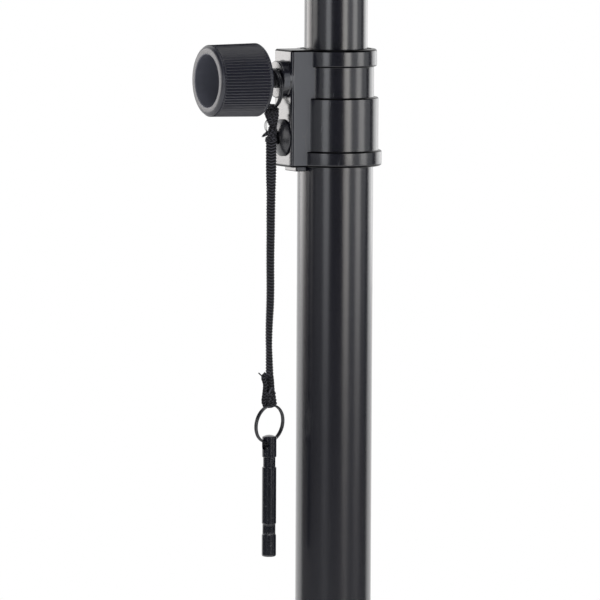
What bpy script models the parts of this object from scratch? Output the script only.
"""A lighting stand: a telescopic mast clamped in a base tube, on three folding legs.

The mast carries a crossbar for the lamps. A safety pin hangs on a lanyard from the
clamp screw. Metres, +Z up. The origin is the centre of the flat underside of the
base tube's foot plug, on the tube's axis, and the stand's feet are below it.
"""

import math

import bmesh
import bpy
from mathutils import Matrix, Vector

PART_NAME = "lighting_stand"

# Clearances
SEAT = 0.0003  # between pieces that rest on each other
RUNNING = 0.0005  # between round pieces that turn or slide in each other
EASE = 0.0005  # the small edge rounding of machined and moulded pieces
WELD = 0.00001  # points closer than this are one point

# How finely round things are drawn
TUBE_SIDES = 24
KNOB_SIDES = 20
LEG_SIDES = 16
SMALL_SIDES = 12
KNOT_STEPS = 8  # from a knot's top to its foot
WIRE_SIDES_STEP = 1  # bevel resolution of ring wire, six sides
FILLET_STEPS = 1
ARC_STEPS = 6
DOME_STEPS = 3
SMOOTH_BELOW_DEG = 35
AXIS_MARK = 0.03  # size of the crosses that mark the joints' axes

# Base tube and the plug in its foot
BASE_TUBE_R = 0.021
BASE_TUBE_WALL = 0.002
BASE_TUBE_LENGTH = 1.07
PLUG_FLANGE = 0.004
PLUG_OVERHANG = 0.0015
PLUG_DEPTH = 0.022
PLUG_WALL = 0.003

# Mast
MAST_R = 0.0175
MAST_WALL = 0.002
MAST_LENGTH = 1.1
MAST_SHOWN = 0.3  # how much of it stands out of the collar at rest
PIN_HOLE_R = 0.0043
PIN_HOLE_PITCH = 0.12
PIN_HOLE_FIRST = 0.06  # the first hole above the collar at rest
GUIDE_RING_HEIGHT = 0.024
MAST_PLUG_FLANGE = 0.003
MAST_PLUG_DEPTH = 0.016
MAST_PLUG_BORE_R = 0.006

# Clamp collar, a casting in four steps with a flat block down one side
BUSH_WALL = 0.0015
NECK_WALL = 0.0014
SLEEVE_WALL = 0.00245
TOP_RING_STEP = 0.0016
BOTTOM_RING_STEP = 0.0019
TOP_RING_HEIGHT = 0.00965
NECK_HEIGHT = 0.017
SLEEVE_HEIGHT = 0.02935
BOTTOM_RING_HEIGHT = 0.0086
TOP_EDGE = 0.0015  # the rounding of the collar's upper rim
BOTTOM_EDGE = 0.0018  # and of its lower rim
SHOULDER_STEP = 0.00135  # from the top of the sleeve part down to the base tube's end
BLOCK_STANDOUT = 0.00905
BLOCK_HALF_WIDTH = 0.0109
BLOCK_EDGE = 0.0018
LIP_HEIGHT = 0.0024  # a small foot under the block, set back from its faces
LIP_HALF_WIDTH = 0.00725
LIP_SETBACK = 0.00485
CLAMP_DEPTH = 0.01635  # the clamp screw's axis below the collar's top
BOSS_R = 0.01025
BOSS_HEIGHT = 0.0046
COLLAR_BOLT_DEPTH = 0.0485
COLLAR_BOLT_R = 0.004
COLLAR_BOLT_HEAD_R = 0.0102
COLLAR_BOLT_RIM = 0.0008  # the straight rim of the bolt's domed head
COLLAR_BOLT_DOME = 0.0025
HEX_SOCKET_R = 0.0039
HEX_SOCKET_DEPTH = 0.0022

# Clamp knobs: the big one of the mast, and the small ones of the legs and crossbar
SHOE_LENGTH = 0.0035
BIG_SCREW_R = 0.0049
BIG_KNOB_R = 0.0202
BIG_KNOB_LENGTH = 0.0318
BIG_KNOB_RECESS_R = 0.0138
BIG_KNOB_RECESS_DEPTH = 0.018
BIG_KNOB_SOCKET = 0.008
BIG_KNOB_GAP = 0.0105  # from the boss to the knob, where the lanyard's ring hangs
KNOB_DRAFT_DEG = 1  # the moulded knobs taper towards their outer end
KNOB_ROUNDING = 0.42  # of the rim's width, on the knob's outer edges
KNOB_MOUTH_ROUNDING = 0.34  # of the rim's width, where the rim turns into the recess
SMALL_SCREW_R = 0.0039
SMALL_KNOB_R = 0.016
SMALL_KNOB_LENGTH = 0.024
SMALL_KNOB_RECESS_R = 0.0105
SMALL_KNOB_RECESS_DEPTH = 0.012
SMALL_KNOB_SOCKET = 0.008
SMALL_KNOB_GAP = 0.006
SMALL_BOSS_R = 0.0085
SMALL_BOSS_STANDOUT = 0.009

# Legs, braces and what carries them
LEG_AZIMUTHS = (90, 210, 330)
LEG_OPEN_DEG = 52
PIVOT_RADIUS = 0.047  # of the leg and brace pivots from the tube's axis
BRACKET_PIVOT_Z = 0.035
LEG_R = 0.0125
LEG_WALL = 0.0015
LEG_LENGTH = 0.66
LEG_HEAD = 0.012  # the leg tube above its pivot
BRACE_LENGTH = 0.25  # pivot to pivot, and the same distance down the leg
BRACE_HALF_WIDTH = 0.008
BRACE_THICKNESS = 0.003
BRACE_PLAY = 0.0005
LEG_BOLT_R = 0.003
LEG_BOLT_HEAD_R = 0.006
LEG_BOLT_HEAD = 0.004
RIVET_HEAD = 0.0022
HUB_WALL = 0.0055
LEG_HUB_HEIGHT = 0.046
EAR_THICKNESS = 0.005
EAR_END_R = 0.01
BRACKET_HEIGHT = 0.03
LUG_END_R = 0.008
BRACKET_SCREW_R = 0.003
FOOT_R = 0.016
FOOT_SLEEVE = 0.034  # how far the rubber foot goes up the leg
FOOT_BALL_OFFSET = 0.004
FOOT_BALL_DROP = 0.013  # from the ball's centre down to the floor

# Crossbar
SOCKET_WALL = 0.0025
SOCKET_LENGTH = 0.06
SOCKET_TOP = 0.004
CROSSBAR_CLAMP_DROP = 0.03  # the crossbar clamp's axis below the mast's end
BAR_LENGTH = 1.0
BAR_SIDE = 0.03
BAR_WALL = 0.0015
CAP_FLANGE = 0.004
CAP_DEPTH = 0.018
BOLT_FROM_END = 0.06  # the outer lamp bolts from the bar's ends
BOLT_PITCH = 0.28  # between the two lamp bolts of each half of the bar
BOLT_R = 0.005
BOLT_HEX_R = 0.0096
BOLT_HEAD = 0.0064
BOLT_NUT = 0.009
BOLT_TAIL = 0.022  # of the bolt above its nut

# Lanyard and safety pin
RING_R = 0.0104  # of the wire's centre line
WIRE_R = 0.0005
WIRE_GAP = 0.00045  # between a split ring's two turns
RING_POINTS = 24  # a turn
RING_END_POINTS = 2  # by which each end stops short of a full turn
UPPER_RING_X = -0.0391
STRAND_R = 0.0011
CORD_X = -0.0402
CORD_R = 0.0025
TOP_KNOT_DROP = 0.0114  # of the knot's centre below the upper ring's wire
KNOT_HALF_SIZES = (0.0033, 0.0042, 0.0062)
CORD_LENGTH = 0.1308
CORD_POINTS = 14
BOTTOM_KNOT_RISE = 0.01005  # of the knot's centre above the lower ring's wire
BOTTOM_KNOT_HALF_SIZES = (0.0038, 0.0032, 0.0056)
LOWER_RING_AZIMUTH = 18  # of the level line in the lower ring's plane
PIN_R = 0.004
PIN_LENGTH = 0.0676
PIN_DOME = 0.0014
PIN_TIP_ROUNDING = 0.0008
PIN_EYE_R = 0.0028
PIN_EYE_DEPTH = 0.0054
PIN_GROOVES = ((0.0124, 0.0054, 0.00055), (0.0494, 0.0058, 0.0004))  # depth, length, cut

# What follows from the sizes above
FOOT_PLUG_TOP = PLUG_FLANGE + SEAT
BASE_TUBE_TOP = FOOT_PLUG_TOP + BASE_TUBE_LENGTH
BASE_TUBE_BORE_R = BASE_TUBE_R - BASE_TUBE_WALL
NECK_BOTTOM = TOP_RING_HEIGHT + NECK_HEIGHT
SLEEVE_BOTTOM = NECK_BOTTOM + SLEEVE_HEIGHT
COLLAR_HEIGHT = SLEEVE_BOTTOM + BOTTOM_RING_HEIGHT
COLLAR_TOP = BASE_TUBE_TOP + SEAT + SHOULDER_STEP + NECK_BOTTOM
BUSH_BORE_R = MAST_R + RUNNING
BUSH_R = BUSH_BORE_R + BUSH_WALL
NECK_R = BUSH_R + SEAT + NECK_WALL
TOP_RING_R = NECK_R + TOP_RING_STEP
SLEEVE_R = BASE_TUBE_R + SEAT + SLEEVE_WALL
BOTTOM_RING_R = SLEEVE_R + BOTTOM_RING_STEP
BLOCK_REACH = SLEEVE_R + BLOCK_STANDOUT
CLAMP_Z = COLLAR_TOP - CLAMP_DEPTH
MAST_TOP = COLLAR_TOP + MAST_SHOWN
MAST_BOTTOM = MAST_TOP - MAST_LENGTH
MAST_BORE_R = MAST_R - MAST_WALL
HUB_BORE_R = BASE_TUBE_R + RUNNING
HUB_R = HUB_BORE_R + HUB_WALL
LEG_OPEN = math.radians(LEG_OPEN_DEG)
LEG_PIVOT_Z = BRACKET_PIVOT_Z + 2 * BRACE_LENGTH * math.cos(LEG_OPEN)
BRACE_INNER = LEG_R + BRACE_PLAY
BRACE_OUTER = BRACE_INNER + BRACE_THICKNESS
SOCKET_BORE_R = MAST_R + RUNNING
SOCKET_R = SOCKET_BORE_R + SOCKET_WALL
SOCKET_UPPER = MAST_TOP + SEAT + SOCKET_TOP
BAR_CENTRE_Z = SOCKET_UPPER + SEAT + BAR_SIDE / 2
OUTER_BOLT = BAR_LENGTH / 2 - BOLT_FROM_END
BOLT_PLACES = (-OUTER_BOLT, BOLT_PITCH - OUTER_BOLT, OUTER_BOLT - BOLT_PITCH, OUTER_BOLT)
KNOB_DRAFT = math.tan(math.radians(KNOB_DRAFT_DEG))
WIRE_OFFSET = WIRE_R + WIRE_GAP / 2  # of each turn of a split ring from the ring's middle
UPPER_RING_Z = CLAMP_Z - (RING_R - WIRE_R - SEAT - BIG_SCREW_R)
TOP_KNOT_Z = UPPER_RING_Z - RING_R - TOP_KNOT_DROP
CORD_TOP_Z = TOP_KNOT_Z - KNOT_HALF_SIZES[2] - SEAT
CORD_BOTTOM_Z = CORD_TOP_Z - CORD_LENGTH
BOTTOM_KNOT_Z = CORD_BOTTOM_Z - SEAT - BOTTOM_KNOT_HALF_SIZES[2]
LOWER_RING_Z = BOTTOM_KNOT_Z - BOTTOM_KNOT_RISE - RING_R
LOWER_RING_LINE = Vector((
    math.cos(math.radians(LOWER_RING_AZIMUTH)), math.sin(math.radians(LOWER_RING_AZIMUTH)), 0))
UP = Vector((0, 0, 1))

# Colour, roughness and metallic value of each finish
FINISHES = {
    "black_tube": ((0.022, 0.024, 0.03), 0.3, 0.6),
    "black_casting": ((0.028, 0.03, 0.036), 0.38, 0.5),
    "knob_plastic": ((0.035, 0.036, 0.044), 0.45, 0.0),
    "nylon": ((0.03, 0.03, 0.032), 0.5, 0.0),
    "black_steel": ((0.03, 0.03, 0.034), 0.35, 0.8),
    "zinc_steel": ((0.6, 0.6, 0.6), 0.35, 0.9),
    "rubber": ((0.02, 0.02, 0.021), 0.75, 0.0),
    "cord": ((0.012, 0.012, 0.016), 0.9, 0.0),
    "pin_steel": ((0.018, 0.02, 0.03), 0.25, 0.7),
}


def clear_scene():
    for old in list(bpy.data.objects):
        bpy.data.objects.remove(old, do_unlink=True)


def new_collection(name):
    made = bpy.data.collections.new(name)
    bpy.context.scene.collection.children.link(made)
    return made


def material_for(name, finish):
    colour, roughness, metallic = FINISHES[finish]
    material = bpy.data.materials.new(name)
    material.use_nodes = True
    shader = material.node_tree.nodes["Principled BSDF"]
    shader.inputs["Base Color"].default_value = (*colour, 1)
    shader.inputs["Roughness"].default_value = roughness
    shader.inputs["Metallic"].default_value = metallic
    material.diffuse_color = (*colour, 1)
    return material


def add_object(name, data, finish=None):
    """Link a sub-part, or a hidden tool when it has no finish."""
    made = bpy.data.objects.new(name, data)
    if finish is None:
        CUTTERS.objects.link(made)
        made.hide_render = True
        made.display_type = "WIRE"
    else:
        PARTS.objects.link(made)
        data.materials.append(material_for(name, finish))
    return made


def place(obj, origin, z_axis=(0, 0, 1), x_axis=(1, 0, 0)):
    """Put the object's origin there, with its own Z along z_axis and X near x_axis."""
    z, x = Vector(z_axis).normalized(), Vector(x_axis)
    x = (x - x.dot(z) * z).normalized()
    turn = Matrix((x, z.cross(x), z)).transposed().to_4x4()
    obj.matrix_world = Matrix.Translation(origin) @ turn
    return obj


def joint_empty(name, at, parent=None):
    """An empty on a joint's axis, which carries the pieces that move with it."""
    empty = bpy.data.objects.new(name, None)
    PARTS.objects.link(empty)
    empty.empty_display_size = AXIS_MARK
    empty.matrix_world = Matrix.Translation(at)
    if parent is not None:
        attach(empty, parent)
    return empty


def attach(child, empty):
    bpy.context.view_layer.update()
    child.parent = empty
    child.matrix_parent_inverse = empty.matrix_world.inverted()


def filleted(corners, steps=FILLET_STEPS):
    """Points of an outline whose corners are (across, along, fillet radius)."""
    points = []
    for i, (across, along, radius) in enumerate(corners):
        here = Vector((across, along))
        if not radius:
            points.append(tuple(here))
            continue
        before = (Vector(corners[i - 1][:2]) - here).normalized()
        after = (Vector(corners[(i + 1) % len(corners)][:2]) - here).normalized()
        half = before.angle(after) / 2
        reach = radius / math.tan(half)
        centre = here + (before + after).normalized() * radius / math.sin(half)
        start, end = here + before * reach - centre, here + after * reach - centre
        for step in range(steps + 1):
            toward = start.lerp(end, step / steps).normalized()
            points.append(tuple(centre + toward * radius))
    return points


def dome(radius, height, top):
    """Profile points of a low round dome, from its middle down to its rim."""
    ball = (radius ** 2 + height ** 2) / (2 * height)
    slopes = [math.asin(radius / ball) * i / DOME_STEPS for i in range(DOME_STEPS + 1)]
    return [(ball * math.sin(a), top - ball * (1 - math.cos(a))) for a in slopes]


def turned(name, profile, finish, sides=TUBE_SIDES):
    """A (radius, height) profile turned about local Z, run down its outer side."""
    mesh = bpy.data.meshes.new(name)
    hollow = min(radius for radius, height in profile) > 0
    edges = [(i, i + 1) for i in range(len(profile) - 1)]
    if hollow:
        edges.append((len(profile) - 1, 0))
    mesh.from_pydata([(radius, 0, height) for radius, height in profile], edges, [])
    made = add_object(name, mesh, finish)
    turn = made.modifiers.new("Turn", "SCREW")
    turn.angle = 2 * math.pi
    turn.steps = sides
    turn.render_steps = sides
    turn.use_merge_vertices = True
    turn.merge_threshold = WELD
    return made


def tube(name, outer, inner, low, high, finish, sides=TUBE_SIDES):
    return turned(name, [(outer, high), (outer, low), (inner, low), (inner, high)], finish, sides)


def rod(name, radius, low, high, finish=None, sides=SMALL_SIDES):
    """A solid cylinder along local Z."""
    mesh = bpy.data.meshes.new(name)
    shape = bmesh.new()
    bmesh.ops.create_cone(
        shape, cap_ends=True, segments=sides, radius1=radius, radius2=radius,
        depth=high - low, matrix=Matrix.Translation((0, 0, (low + high) / 2)))
    shape.to_mesh(mesh)
    shape.free()
    return add_object(name, mesh, finish)


def box(name, low, high, finish=None):
    """A box between two corners, in local axes."""
    low, high = Vector(low), Vector(high)
    mesh = bpy.data.meshes.new(name)
    shape = bmesh.new()
    bmesh.ops.create_cube(
        shape, size=1,
        matrix=Matrix.Translation((low + high) / 2) @ Matrix.Diagonal((*(high - low), 1)))
    shape.to_mesh(mesh)
    shape.free()
    return add_object(name, mesh, finish)


def slab(name, outline, hole, thickness, finish=None):
    """A flat outline in local XY with a round hole, as a mesh centred on local Z = 0."""
    curve = bpy.data.curves.new(name, "CURVE")
    curve.dimensions = "2D"
    curve.fill_mode = "BOTH"
    curve.extrude = thickness / 2
    rims = [outline]
    if hole is not None:
        (across, along), radius = hole
        rims.append([
            (across + radius * math.cos(a), along + radius * math.sin(a))
            for a in (2 * math.pi * i / SMALL_SIDES for i in range(SMALL_SIDES))])
    for rim in rims:
        spline = curve.splines.new("POLY")
        spline.points.add(len(rim) - 1)
        for point, (across, along) in zip(spline.points, rim):
            point.co = (across, along, 0, 1)
        spline.use_cyclic_u = True
    return meshed(name, curve, finish)


def wire(name, route, radius, finish=None, resolution=2):
    """A round tube with filled caps along a list of points, as a mesh."""
    curve = bpy.data.curves.new(name, "CURVE")
    curve.dimensions = "3D"
    curve.bevel_depth = radius
    curve.bevel_resolution = resolution
    curve.use_fill_caps = True
    spline = curve.splines.new("POLY")
    spline.points.add(len(route) - 1)
    for point, place_m in zip(spline.points, route):
        point.co = (*place_m, 1)
    return meshed(name, curve, finish)


def meshed(name, curve, finish):
    """The curve's surface as a welded mesh object."""
    source = bpy.data.objects.new(name, curve)
    CUTTERS.objects.link(source)
    bpy.context.view_layer.update()
    seen = source.evaluated_get(bpy.context.evaluated_depsgraph_get())
    mesh = bpy.data.meshes.new_from_object(seen)
    bpy.data.objects.remove(source)
    shape = bmesh.new()
    shape.from_mesh(mesh)
    bmesh.ops.remove_doubles(shape, verts=shape.verts, dist=WELD)
    bmesh.ops.recalc_face_normals(shape, faces=shape.faces)
    shape.to_mesh(mesh)
    shape.free()
    return add_object(name, mesh, finish)


def combine(obj, operation, tools):
    for tool in tools:
        step = obj.modifiers.new(tool.name, "BOOLEAN")
        step.operation = operation
        step.solver = "EXACT"
        step.object = tool
    return obj


def joined(obj, *tools):
    return combine(obj, "UNION", tools)


def cut(obj, *tools):
    return combine(obj, "DIFFERENCE", tools)


def make_base():
    """The base tube with its foot plug."""
    hole = place(
        rod("collar_bolt_hole", COLLAR_BOLT_R + SEAT, 0, BLOCK_REACH),
        (0, 0, COLLAR_TOP - COLLAR_BOLT_DEPTH), (-1, 0, 0), UP)
    base = tube(
        "base_tube", BASE_TUBE_R, BASE_TUBE_BORE_R, FOOT_PLUG_TOP, BASE_TUBE_TOP, "black_tube")
    cut(base, hole)
    spigot = BASE_TUBE_BORE_R - SEAT
    rim = BASE_TUBE_R + PLUG_OVERHANG
    turned("foot_plug", filleted([
        (0, PLUG_FLANGE, 0), (spigot - PLUG_WALL, PLUG_FLANGE, 0),
        (spigot - PLUG_WALL, PLUG_FLANGE + PLUG_DEPTH, 0), (spigot, PLUG_FLANGE + PLUG_DEPTH, 0),
        (spigot, PLUG_FLANGE, 0), (rim, PLUG_FLANGE, 0),
        (rim, 0, EASE), (0, 0, 0)]), "nylon")


def make_collar():
    """The clamp collar, its nylon bush, and the bolt that holds it to the base tube."""
    step, top = EASE, COLLAR_TOP
    collar = turned("clamp_collar", filleted([
        (0, 0, 0), (TOP_RING_R, 0, TOP_EDGE), (TOP_RING_R, -TOP_RING_HEIGHT, step),
        (NECK_R, -TOP_RING_HEIGHT, 0), (NECK_R, -NECK_BOTTOM, 0),
        (SLEEVE_R, -NECK_BOTTOM, step), (SLEEVE_R, -SLEEVE_BOTTOM, 0),
        (BOTTOM_RING_R, -SLEEVE_BOTTOM, step), (BOTTOM_RING_R, -COLLAR_HEIGHT, BOTTOM_EDGE),
        (0, -COLLAR_HEIGHT, 0)]), "black_casting")
    place(collar, (0, 0, top))
    block = place(box(
        "collar_block", (-BLOCK_REACH, -BLOCK_HALF_WIDTH, -COLLAR_HEIGHT + SEAT),
        (-BUSH_R / 2, BLOCK_HALF_WIDTH, -SEAT)), (0, 0, top))
    edges = block.modifiers.new("Edges", "BEVEL")
    edges.width = BLOCK_EDGE
    edges.segments = FILLET_STEPS
    lip = place(box(
        "collar_lip", (-BLOCK_REACH + LIP_SETBACK, -LIP_HALF_WIDTH, -LIP_HEIGHT),
        (-BUSH_R / 2, LIP_HALF_WIDTH, BOTTOM_RING_HEIGHT / 2)), (0, 0, top - COLLAR_HEIGHT))
    boss = place(rod("collar_boss", BOSS_R, BUSH_R, BLOCK_REACH + BOSS_HEIGHT, sides=TUBE_SIDES),
                 (0, 0, CLAMP_Z), (-1, 0, 0), UP)
    shoulder = -NECK_BOTTOM - SHOULDER_STEP
    sleeve_bore, bush_seat = BASE_TUBE_R + SEAT, BUSH_R + SEAT
    under = -COLLAR_HEIGHT - LIP_HEIGHT - SEAT
    bore = turned("collar_bore", [
        (0, SEAT), (bush_seat, SEAT), (bush_seat, shoulder), (sleeve_bore, shoulder),
        (sleeve_bore, under), (0, under)], None)
    place(bore, (0, 0, top))
    past = BLOCK_REACH + BOSS_HEIGHT + SEAT
    screw_bore = place(rod("collar_screw_bore", BIG_SCREW_R + SEAT, 0, past),
                       (0, 0, CLAMP_Z), (-1, 0, 0), UP)
    bolt_z = top - COLLAR_BOLT_DEPTH
    bolt_bore = place(rod("collar_bolt_bore", COLLAR_BOLT_R + SEAT, 0, past),
                      (0, 0, bolt_z), (-1, 0, 0), UP)
    joined(collar, block, lip, boss)
    cut(collar, bore, screw_bore, bolt_bore)

    bush = tube("collar_bush", BUSH_R, BUSH_BORE_R, BASE_TUBE_TOP + SEAT, top - SEAT, "nylon")
    cut(bush, screw_bore)

    head = BLOCK_REACH + SEAT
    crown = head + COLLAR_BOLT_RIM + COLLAR_BOLT_DOME
    bolt = turned("collar_bolt", [
        *dome(COLLAR_BOLT_HEAD_R, COLLAR_BOLT_DOME, crown),
        (COLLAR_BOLT_HEAD_R, head), (COLLAR_BOLT_R, head),
        (COLLAR_BOLT_R, BASE_TUBE_BORE_R + SEAT),
        (0, BASE_TUBE_BORE_R + SEAT)], "black_steel", KNOB_SIDES)
    place(bolt, (0, 0, bolt_z), (-1, 0, 0), UP)
    socket = rod("collar_bolt_socket", HEX_SOCKET_R, crown - HEX_SOCKET_DEPTH, crown + SEAT,
                 sides=6)
    cut(bolt, place(socket, (0, 0, bolt_z), (-1, 0, 0), UP))


def clamp_unit(name, axis_at, outward, carrier, tube_r, boss_end, screw_r, gap, knob):
    """Pressure shoe, screw and knob of one clamp, on its axis out from a tube."""
    knob_r, knob_length, recess_r, recess_depth, socket = knob
    slide = joint_empty(f"{name}_shoe_slide", axis_at, carrier)
    turn = joint_empty(f"{name}_knob_turn", axis_at, slide)
    shoe_low = tube_r + SEAT
    shoe_high = shoe_low + SHOE_LENGTH
    knob_low = boss_end + gap
    screw_high = knob_low + socket - SEAT
    shoe = rod(f"{name}_shoe", screw_r, shoe_low, shoe_high, "nylon")
    attach(place(shoe, axis_at, outward, UP), slide)
    screw = turned(f"{name}_screw", filleted([
        (0, screw_high, 0), (screw_r, screw_high, EASE), (screw_r, shoe_high + SEAT, EASE),
        (0, shoe_high + SEAT, 0)]), "black_steel", SMALL_SIDES)
    attach(place(screw, axis_at, outward, UP), turn)
    rim = knob_r - recess_r
    knob_high = knob_low + knob_length
    body = turned(f"{name}_knob", filleted([
        (0, knob_high - recess_depth, 0), (recess_r, knob_high - recess_depth, 0),
        (recess_r, knob_high, rim * KNOB_MOUTH_ROUNDING),
        (knob_r - knob_length * KNOB_DRAFT, knob_high, rim * KNOB_ROUNDING),
        (knob_r, knob_low, rim * KNOB_ROUNDING), (screw_r + SEAT, knob_low, 0),
        (screw_r + SEAT, knob_low + socket, 0), (0, knob_low + socket, 0)], 2),
        "knob_plastic", KNOB_SIDES)
    attach(place(body, axis_at, outward, UP), turn)


def make_mast():
    """The mast with its guide ring, foot plug and row of pin holes."""
    slide = joint_empty("mast_slide", (0, 0, MAST_BOTTOM))
    turn = joint_empty("mast_turn", (0, 0, MAST_BOTTOM), slide)
    guide = tube("mast_guide_ring", BASE_TUBE_BORE_R - SEAT, MAST_R + RUNNING,
                 MAST_BOTTOM + SEAT, MAST_BOTTOM + GUIDE_RING_HEIGHT, "nylon")
    attach(guide, slide)
    mast = tube("mast_tube", MAST_R, MAST_BORE_R, MAST_BOTTOM, MAST_TOP, "black_tube")
    lowest = MAST_BOTTOM + GUIDE_RING_HEIGHT + PIN_HOLE_PITCH / 2
    highest = MAST_TOP - SOCKET_LENGTH - PIN_HOLE_PITCH / 4
    first = COLLAR_TOP + PIN_HOLE_FIRST
    below = math.floor((first - lowest) / PIN_HOLE_PITCH)
    above = math.floor((highest - first) / PIN_HOLE_PITCH)
    half_side = math.pi / SMALL_SIDES
    flat_up = (0, math.sin(half_side), math.cos(half_side))  # a hole's top is a flat of it
    for step in range(-below, above + 1):
        hole = rod(f"pin_hole_{step + below + 1}", PIN_HOLE_R, -MAST_R * 2, MAST_R * 2)
        cut(mast, place(hole, (0, 0, first + step * PIN_HOLE_PITCH), (1, 0, 0), flat_up))
    attach(mast, turn)
    rim, spigot = BASE_TUBE_BORE_R - RUNNING, MAST_BORE_R - SEAT
    low, shelf = MAST_BOTTOM - SEAT - MAST_PLUG_FLANGE, MAST_BOTTOM - SEAT
    plug = turned("mast_foot_plug", filleted([
        (spigot, shelf + MAST_PLUG_DEPTH, EASE), (spigot, shelf, 0), (rim, shelf, 0),
        (rim, low, EASE), (MAST_PLUG_BORE_R, low, 0),
        (MAST_PLUG_BORE_R, shelf + MAST_PLUG_DEPTH, 0)]), "nylon")
    attach(plug, turn)
    return turn


def make_crossbar(mast):
    """The crossbar with its socket on the mast's end, end caps and lamp bolts."""
    turn = joint_empty("crossbar_turn", (0, 0, MAST_TOP), mast)
    low = MAST_TOP - SOCKET_LENGTH
    socket = turned("crossbar_socket", filleted([
        (0, SOCKET_UPPER, 0), (SOCKET_R, SOCKET_UPPER, EASE), (SOCKET_R, low, EASE),
        (SOCKET_BORE_R, low, 0), (SOCKET_BORE_R, MAST_TOP + SEAT, 0),
        (0, MAST_TOP + SEAT, 0)]), "black_casting")
    clamp_at = Vector((0, 0, MAST_TOP - CROSSBAR_CLAMP_DROP))
    front = Vector((0, -1, 0))
    boss_end = SOCKET_R + SMALL_BOSS_STANDOUT
    boss = rod("crossbar_boss", SMALL_BOSS_R, SOCKET_BORE_R + SOCKET_WALL / 2, boss_end)
    bore = rod("crossbar_screw_bore", SMALL_SCREW_R + SEAT, 0, boss_end + SEAT)
    joined(socket, place(boss, clamp_at, front, UP))
    cut(socket, place(bore, clamp_at, front, UP))
    attach(socket, turn)

    half, inner = BAR_SIDE / 2, BAR_SIDE / 2 - BAR_WALL
    end = BAR_LENGTH / 2 - CAP_FLANGE - SEAT
    at = Vector((0, 0, BAR_CENTRE_Z))
    bar = place(box("crossbar", (-end, -half, -half), (end, half, half), "black_tube"), at)
    hollow = box("crossbar_hollow", (-BAR_LENGTH, -inner, -inner), (BAR_LENGTH, inner, inner))
    cut(bar, place(hollow, at))
    for number, across in enumerate(BOLT_PLACES, 1):
        hole = rod(f"fixture_bolt_hole_{number}", BOLT_R + SEAT, -BAR_SIDE, BAR_SIDE)
        cut(bar, place(hole, at + Vector((across, 0, 0)), UP, (1, 0, 0)))
        attach(fixture_bolt(number, across), turn)
    attach(bar, turn)
    plug = inner - SEAT
    for side, name in ((-1, "left"), (1, "right")):
        cap = box(f"crossbar_cap_{name}", (0, -half, -half), (CAP_FLANGE, half, half), "nylon")
        spigot = box(f"cap_spigot_{name}", (-CAP_DEPTH, -plug, -plug), (SEAT, plug, plug))
        outer = at + Vector((side * (end + SEAT), 0, 0))
        place(cap, outer, UP, (side, 0, 0))
        joined(cap, place(spigot, outer, UP, (side, 0, 0)))
        attach(cap, turn)
    clamp_unit("crossbar_clamp", clamp_at, front, turn, MAST_R, boss_end,
               SMALL_SCREW_R, SMALL_KNOB_GAP, SMALL_KNOB)


def fixture_bolt(number, across):
    """A lamp bolt up through the bar, with its head below and its nut above."""
    under, over = -BAR_SIDE / 2 - SEAT, BAR_SIDE / 2 + SEAT
    bolt = rod(f"fixture_bolt_{number}", BOLT_R, under - BOLT_HEAD / 2,
               over + BOLT_NUT + BOLT_TAIL, "zinc_steel")
    head = rod(f"bolt_head_{number}", BOLT_HEX_R, under - BOLT_HEAD, under, sides=6)
    nut = rod(f"bolt_nut_{number}", BOLT_HEX_R, over, over + BOLT_NUT, sides=6)
    at = (across, 0, BAR_CENTRE_Z)
    joined(place(bolt, at), place(head, at), place(nut, at))
    return bolt


def arc(centre, radius, start_deg, end_deg):
    """Points of an arc about a centre in a flat outline."""
    turn = end_deg - start_deg
    angles = [math.radians(start_deg + turn * i / ARC_STEPS) for i in range(ARC_STEPS + 1)]
    return [(centre[0] + radius * math.cos(a), centre[1] + radius * math.sin(a)) for a in angles]


def tongue(reach, end_r):
    """An outline from the tube's axis to a round end about x = reach."""
    return [(0, -end_r), *arc((reach, 0), end_r, -90, 90), (0, end_r)]


def ring_blank(name, height):
    """A ring casting about the base tube, before its bore is cut."""
    return turned(name, filleted([
        (0, height / 2, 0), (HUB_R, height / 2, EASE * 2), (HUB_R, -height / 2, EASE * 2),
        (0, -height / 2, 0)]), "black_casting")


def pivot_bolt(name, half_grip, finish="zinc_steel"):
    """A bolt along local Z with a hexagon at each end of its grip."""
    bolt = rod(name, LEG_BOLT_R, -half_grip - LEG_BOLT_HEAD / 2, half_grip + LEG_BOLT_HEAD / 2,
               finish)
    ends = []
    for side in (-1, 1):
        low, high = sorted((side * half_grip, side * (half_grip + LEG_BOLT_HEAD)))
        ends.append(rod(f"{name}_hexagon_{side + 2}", LEG_BOLT_HEAD_R, low, high, sides=6))
    joined(bolt, *ends)
    return [bolt, *ends]


def directions(azimuth_deg):
    """Outward and sideways unit vectors of a leg."""
    a = math.radians(azimuth_deg)
    return Vector((math.cos(a), math.sin(a), 0)), Vector((-math.sin(a), math.cos(a), 0))


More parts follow.
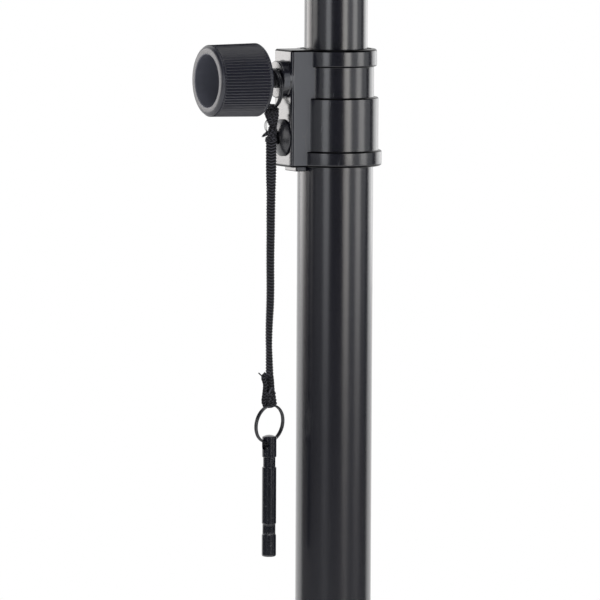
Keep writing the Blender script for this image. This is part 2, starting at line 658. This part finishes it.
def make_leg_hub():
    """The collar that slides on the base tube and carries the legs in pairs of ears."""
    slide = joint_empty("leg_collar_slide", (0, 0, LEG_PIVOT_Z))
    hub = place(ring_blank("leg_collar", LEG_HUB_HEIGHT), (0, 0, LEG_PIVOT_Z))
    hole = ((PIVOT_RADIUS, 0), LEG_BOLT_R + SEAT)
    grip = BRACE_INNER + EAR_THICKNESS + SEAT
    for number, azimuth in enumerate(LEG_AZIMUTHS, 1):
        outward, sideways = directions(azimuth)
        for side in (-1, 1):
            ear = slab(f"ear_{number}_{side + 2}", tongue(PIVOT_RADIUS, EAR_END_R), hole,
                       EAR_THICKNESS)
            offset = side * (BRACE_INNER + EAR_THICKNESS / 2)
            at = Vector((0, 0, LEG_PIVOT_Z)) + sideways * offset
            joined(hub, place(ear, at, sideways, outward))
        bolt, *ends = pivot_bolt(f"leg_pivot_bolt_{number}", grip)
        at = outward * PIVOT_RADIUS + Vector((0, 0, LEG_PIVOT_Z))
        for piece in (bolt, *ends):
            place(piece, at, sideways, outward)
        attach(bolt, slide)
    front = Vector((0, -1, 0))
    axis_at = Vector((0, 0, LEG_PIVOT_Z))
    boss_end = HUB_R + SMALL_BOSS_STANDOUT
    boss = rod("leg_collar_boss", SMALL_BOSS_R, 0, boss_end)
    bore = rod("leg_collar_screw_bore", SMALL_SCREW_R + SEAT, 0, boss_end + SEAT)
    tube_bore = rod("leg_collar_bore", HUB_BORE_R, -LEG_HUB_HEIGHT, LEG_HUB_HEIGHT,
                    sides=TUBE_SIDES)
    joined(hub, place(boss, axis_at, front, UP))
    cut(hub, place(tube_bore, axis_at, UP, (1, 0, 0)), place(bore, axis_at, front, UP))
    attach(hub, slide)
    clamp_unit("leg_clamp", axis_at, front, slide, BASE_TUBE_R, boss_end,
               SMALL_SCREW_R, SMALL_KNOB_GAP, SMALL_KNOB)
    return slide


def make_bracket():
    """The fixed bracket at the tube's foot, with a lug for each pair of braces."""
    bracket = place(ring_blank("lower_bracket", BRACKET_HEIGHT), (0, 0, BRACKET_PIVOT_Z))
    width = 2 * (BRACE_INNER - SEAT)
    for number, azimuth in enumerate(LEG_AZIMUTHS, 1):
        outward, sideways = directions(azimuth)
        lug = slab(f"lug_{number}", tongue(PIVOT_RADIUS, LUG_END_R), None, width)
        joined(bracket, place(lug, (0, 0, BRACKET_PIVOT_Z), sideways, outward))
    front, at = Vector((0, -1, 0)), (0, 0, BRACKET_PIVOT_Z)
    tube_bore = rod("bracket_bore", BASE_TUBE_R + SEAT, -BRACKET_HEIGHT, BRACKET_HEIGHT,
                    sides=TUBE_SIDES)
    hole = rod("bracket_screw_hole", BRACKET_SCREW_R + SEAT, 0, HUB_R * 2)
    cut(bracket, place(tube_bore, at, UP, (1, 0, 0)), place(hole, at, front, UP))
    head = HUB_R + SEAT
    screw = turned("bracket_screw", filleted([
        (0, head + RIVET_HEAD, 0), (LEG_BOLT_HEAD_R, head + RIVET_HEAD, EASE),
        (LEG_BOLT_HEAD_R, head, 0), (BRACKET_SCREW_R, head, 0),
        (BRACKET_SCREW_R, BASE_TUBE_R + SEAT, 0), (0, BASE_TUBE_R + SEAT, 0)]),
        "zinc_steel", SMALL_SIDES)
    place(screw, at, front, UP)


def make_leg(number, azimuth, hub):
    """One leg tube with its rubber foot, brace bolt and the two brace bars."""
    outward, sideways = directions(azimuth)
    along = outward * math.sin(LEG_OPEN) - UP * math.cos(LEG_OPEN)
    pivot = outward * PIVOT_RADIUS + Vector((0, 0, LEG_PIVOT_Z))
    fold = joint_empty(f"leg_{number}_fold", pivot, hub)
    leg = tube(f"leg_tube_{number}", LEG_R, LEG_R - LEG_WALL, -LEG_HEAD, LEG_LENGTH,
               "black_tube", LEG_SIDES)
    across = sideways.cross(along)
    place(leg, pivot, along, across)
    brace_at = pivot + along * BRACE_LENGTH
    for name, at in (("pivot", pivot), ("brace", brace_at)):
        hole = rod(f"leg_{name}_hole_{number}", LEG_BOLT_R + SEAT, -LEG_R * 2, LEG_R * 2)
        cut(leg, place(hole, at, sideways, along))
    attach(leg, fold)

    top = LEG_LENGTH - FOOT_SLEEVE
    ball = LEG_LENGTH + FOOT_BALL_OFFSET
    bore_r, bore_end = LEG_R + SEAT, LEG_LENGTH + SEAT
    round_end = [
        (FOOT_R * math.sin(a), ball + FOOT_R * math.cos(a))
        for a in (math.pi / 2 * i / ARC_STEPS for i in range(ARC_STEPS + 1))]
    foot = turned(f"rubber_foot_{number}", round_end + [
        (FOOT_R, top + EASE), (FOOT_R - EASE, top), (bore_r, top), (bore_r, bore_end),
        (0, bore_end)], "rubber", LEG_SIDES)
    place(foot, pivot, along, across)
    under = pivot + along * ball
    floor = under.z - FOOT_BALL_DROP
    wide = 2 * FOOT_R
    ground = box(f"ground_{number}", (-wide, -wide, -wide), (wide, wide, 0))
    cut(foot, place(ground, (under.x, under.y, floor), UP, outward))
    attach(foot, fold)

    bolt, *ends = pivot_bolt(f"brace_bolt_{number}", BRACE_OUTER + SEAT)
    for piece in (bolt, *ends):
        place(piece, brace_at, sideways, along)
    attach(bolt, fold)

    hinge = joint_empty(f"brace_{number}_fold", brace_at, fold)
    inward = -outward * math.sin(LEG_OPEN) - UP * math.cos(LEG_OPEN)
    outline = [*arc((0, 0), BRACE_HALF_WIDTH, 90, 270),
               *arc((BRACE_LENGTH, 0), BRACE_HALF_WIDTH, -90, 90)]
    for side, name in ((-1, "left"), (1, "right")):
        brace = slab(f"brace_{name}_{number}", outline, ((0, 0), LEG_BOLT_R + SEAT),
                     BRACE_THICKNESS, "black_tube")
        rivet = rod(f"rivet_head_{name}_{number}", LEG_BOLT_HEAD_R,
                    BRACE_THICKNESS / 4, BRACE_THICKNESS / 2 + RIVET_HEAD, sides=SMALL_SIDES)
        middle = side * (BRACE_INNER + BRACE_THICKNESS / 2)
        place(brace, brace_at + sideways * middle, sideways, inward)
        place(rivet, brace_at + sideways * middle + inward * BRACE_LENGTH, sideways * side, inward)
        joined(brace, rivet)
        attach(brace, hinge)


def split_ring(name, centre, line, finish="black_steel"):
    """Two turns of wire side by side, in the plane of Z and a level line.

    The wire steps from one turn's side to the other as it passes the level line.
    """
    level = Vector(line).normalized()
    side = level.cross(UP)
    route = []
    for i in range(RING_END_POINTS, 2 * RING_POINTS - RING_END_POINTS + 1):
        angle = 2 * math.pi * i / RING_POINTS
        across = max(-1, min(1, (i - RING_POINTS) / RING_END_POINTS))
        shift = WIRE_OFFSET * math.sin(across * math.pi / 2)
        route.append(Vector(centre) + RING_R * (level * math.cos(angle) + UP * math.sin(angle))
                     + side * shift)
    least = min((a - b).length for n, a in enumerate(route) for b in route[n + RING_POINTS // 2:])
    print(f"{name}: least gap between its turns {(least - 2 * WIRE_R) * 1000:.2f} mm")
    return wire(name, route, WIRE_R, finish, WIRE_SIDES_STEP)


def knotted_loop(name, wire_at, line, knot_x, knot_z, half_sizes):
    """A cord end looped over a split ring's two wires and tied, as one solid."""
    across = Vector(line).cross(UP).normalized()
    rise = 1 if knot_z < wire_at.z else -1
    radius = WIRE_R + SEAT + STRAND_R
    tie = Vector((knot_x, 0, knot_z))
    route = [tie + across * STRAND_R / 2]
    for side, start in ((1, 0), (-1, math.pi / 2)):
        for i in range(ARC_STEPS // 2 + 1):
            angle = start + math.pi * i / ARC_STEPS
            route.append(wire_at + across * (side * WIRE_OFFSET + radius * math.cos(angle))
                         + UP * rise * radius * math.sin(angle))
    route.append(tie - across * STRAND_R / 2)
    strands = wire(f"{name}_strands", route, STRAND_R)
    mesh = bpy.data.meshes.new(name)
    shape = bmesh.new()
    bmesh.ops.create_uvsphere(shape, u_segments=SMALL_SIDES, v_segments=KNOT_STEPS, radius=1,
                              matrix=Matrix.Diagonal((*half_sizes, 1)))
    shape.to_mesh(mesh)
    shape.free()
    knot = add_object(name, mesh, "cord")
    place(knot, (knot_x, 0, knot_z), UP, across)
    return joined(knot, strands)


def make_lanyard():
    """Two rings, the cord between its end knots, and the safety pin."""
    swing = joint_empty("lanyard_swing", (UPPER_RING_X, 0, CLAMP_Z))
    side_line = Vector((0, 1, 0))
    upper = split_ring("upper_split_ring", (UPPER_RING_X, 0, UPPER_RING_Z), side_line)
    upper_wire = Vector((UPPER_RING_X, 0, UPPER_RING_Z - RING_R))
    top_knot = knotted_loop("lanyard_top_knot", upper_wire, side_line,
                            CORD_X, TOP_KNOT_Z, KNOT_HALF_SIZES)
    route = [(CORD_X, 0, CORD_TOP_Z - CORD_LENGTH * i / (CORD_POINTS - 1))
             for i in range(CORD_POINTS)]
    cord = wire("lanyard_cord", route, CORD_R, "cord")
    lower_wire = Vector((CORD_X, 0, LOWER_RING_Z + RING_R))
    bottom_knot = knotted_loop("lanyard_bottom_knot", lower_wire, LOWER_RING_LINE,
                               CORD_X, BOTTOM_KNOT_Z, BOTTOM_KNOT_HALF_SIZES)
    lower = split_ring("lower_split_ring", (CORD_X, 0, LOWER_RING_Z), LOWER_RING_LINE)
    for piece in (upper, top_knot, cord, bottom_knot, lower):
        attach(piece, swing)

    wire_z = LOWER_RING_Z - RING_R
    pin_swing = joint_empty("pin_swing", (CORD_X, 0, wire_z), swing)
    rise = RING_R - math.sqrt(RING_R ** 2 - PIN_R ** 2)
    room = math.sqrt((PIN_EYE_R - SEAT - WIRE_R) ** 2 - WIRE_OFFSET ** 2)
    eye_z = wire_z + rise - room
    pin = turned("safety_pin", filleted(pin_outline()), "pin_steel", LEG_SIDES)
    place(pin, (CORD_X, 0, eye_z), UP, LOWER_RING_LINE)
    eye = rod("safety_pin_eye", PIN_EYE_R, -PIN_R * 2, PIN_R * 2)
    cut(pin, place(eye, (CORD_X, 0, eye_z), LOWER_RING_LINE, UP))
    attach(pin, pin_swing)


def pin_outline():
    """The safety pin's profile, with height 0 at its eye."""
    top = PIN_EYE_DEPTH
    corners = [(*point, 0) for point in dome(PIN_R, PIN_DOME, top)]
    for depth, length, groove in PIN_GROOVES:
        high, low = top - depth, top - depth - length
        corners += [(PIN_R, high, 0), (PIN_R - groove, high, 0),
                    (PIN_R - groove, low, 0), (PIN_R, low, 0)]
    return [*corners, (PIN_R, top - PIN_LENGTH, PIN_TIP_ROUNDING), (0, top - PIN_LENGTH, 0)]


SMALL_KNOB = (SMALL_KNOB_R, SMALL_KNOB_LENGTH, SMALL_KNOB_RECESS_R, SMALL_KNOB_RECESS_DEPTH,
              SMALL_KNOB_SOCKET)
BIG_KNOB = (BIG_KNOB_R, BIG_KNOB_LENGTH, BIG_KNOB_RECESS_R, BIG_KNOB_RECESS_DEPTH,
            BIG_KNOB_SOCKET)

clear_scene()
PARTS = new_collection(PART_NAME)
CUTTERS = new_collection("cutters")
make_base()
make_collar()
clamp_unit("mast_clamp", Vector((0, 0, CLAMP_Z)), Vector((-1, 0, 0)), None, MAST_R,
           BLOCK_REACH + BOSS_HEIGHT, BIG_SCREW_R, BIG_KNOB_GAP, BIG_KNOB)
make_crossbar(make_mast())
make_bracket()
leg_hub = make_leg_hub()
for leg_number, leg_azimuth in enumerate(LEG_AZIMUTHS, 1):
    make_leg(leg_number, leg_azimuth, leg_hub)
make_lanyard()
for part in PARTS.objects:
    if part.type == "MESH":
        part.data.shade_smooth()
        part.data.set_sharp_from_angle(angle=math.radians(SMOOTH_BELOW_DEG))
